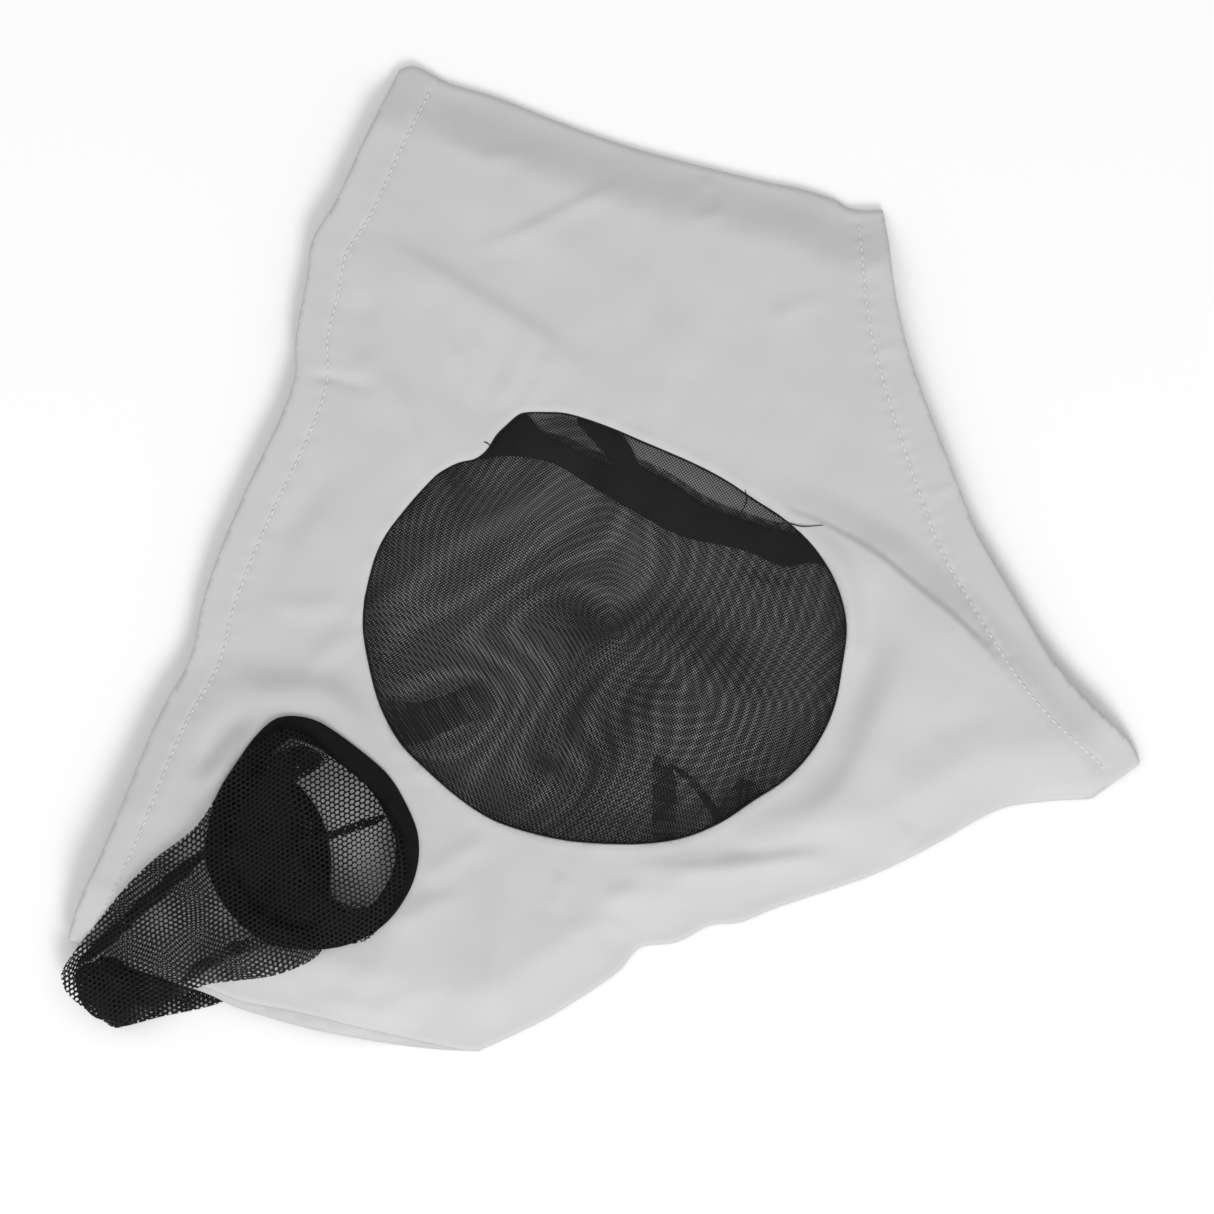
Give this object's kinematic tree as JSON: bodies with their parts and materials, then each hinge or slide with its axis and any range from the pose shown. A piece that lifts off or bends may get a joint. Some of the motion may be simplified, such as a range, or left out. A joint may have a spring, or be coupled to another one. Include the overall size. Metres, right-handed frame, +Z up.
{
  "type": "horse fly mask",
  "caption": "Full-head stretch-knit horse fly mask with mesh eye panels and net ear covers, lying flat on its side; it keeps flies and sun off a horse's face.",
  "frame": {"origin": "middle of the mask in plan, on the surface it lies on", "axes": "+X from the neck opening to the nose opening, +Y from the topline to the jaw seam, +Z up, out of the side that lies uppermost"},
  "size_m": [0.5374, 0.4918, 0.0416],
  "materials": {
    "knit": "smooth light-grey stretch knit, matt",
    "thread": "light-grey overlock and stitching thread",
    "eye_mesh": "fine black see-through mesh",
    "eye_binding": "black seam thread",
    "ear_rim": "black ribbed knit",
    "ear_net": "coarse black knitted net"
  },
  "bodies": {
    "root": {"near_side_panel": "knit", "off_side_panel": "knit", "near_eye_mesh": "eye_mesh", "off_eye_mesh": "eye_mesh", "near_eye_binding": "eye_binding", "off_eye_binding": "eye_binding", "near_ear_rim": "ear_rim", "off_ear_rim": "ear_rim", "near_ear_net": "ear_net", "off_ear_net": "ear_net", "jaw_seam": "thread", "topline_seam": "thread", "near_neck_hem": "knit", "off_neck_hem": "knit", "near_nose_hem": "knit", "off_nose_hem": "knit", "near_neck_stitching": "thread", "off_neck_stitching": "thread", "near_nose_stitching": "thread", "off_nose_stitching": "thread"}
  },
  "joints": []
}
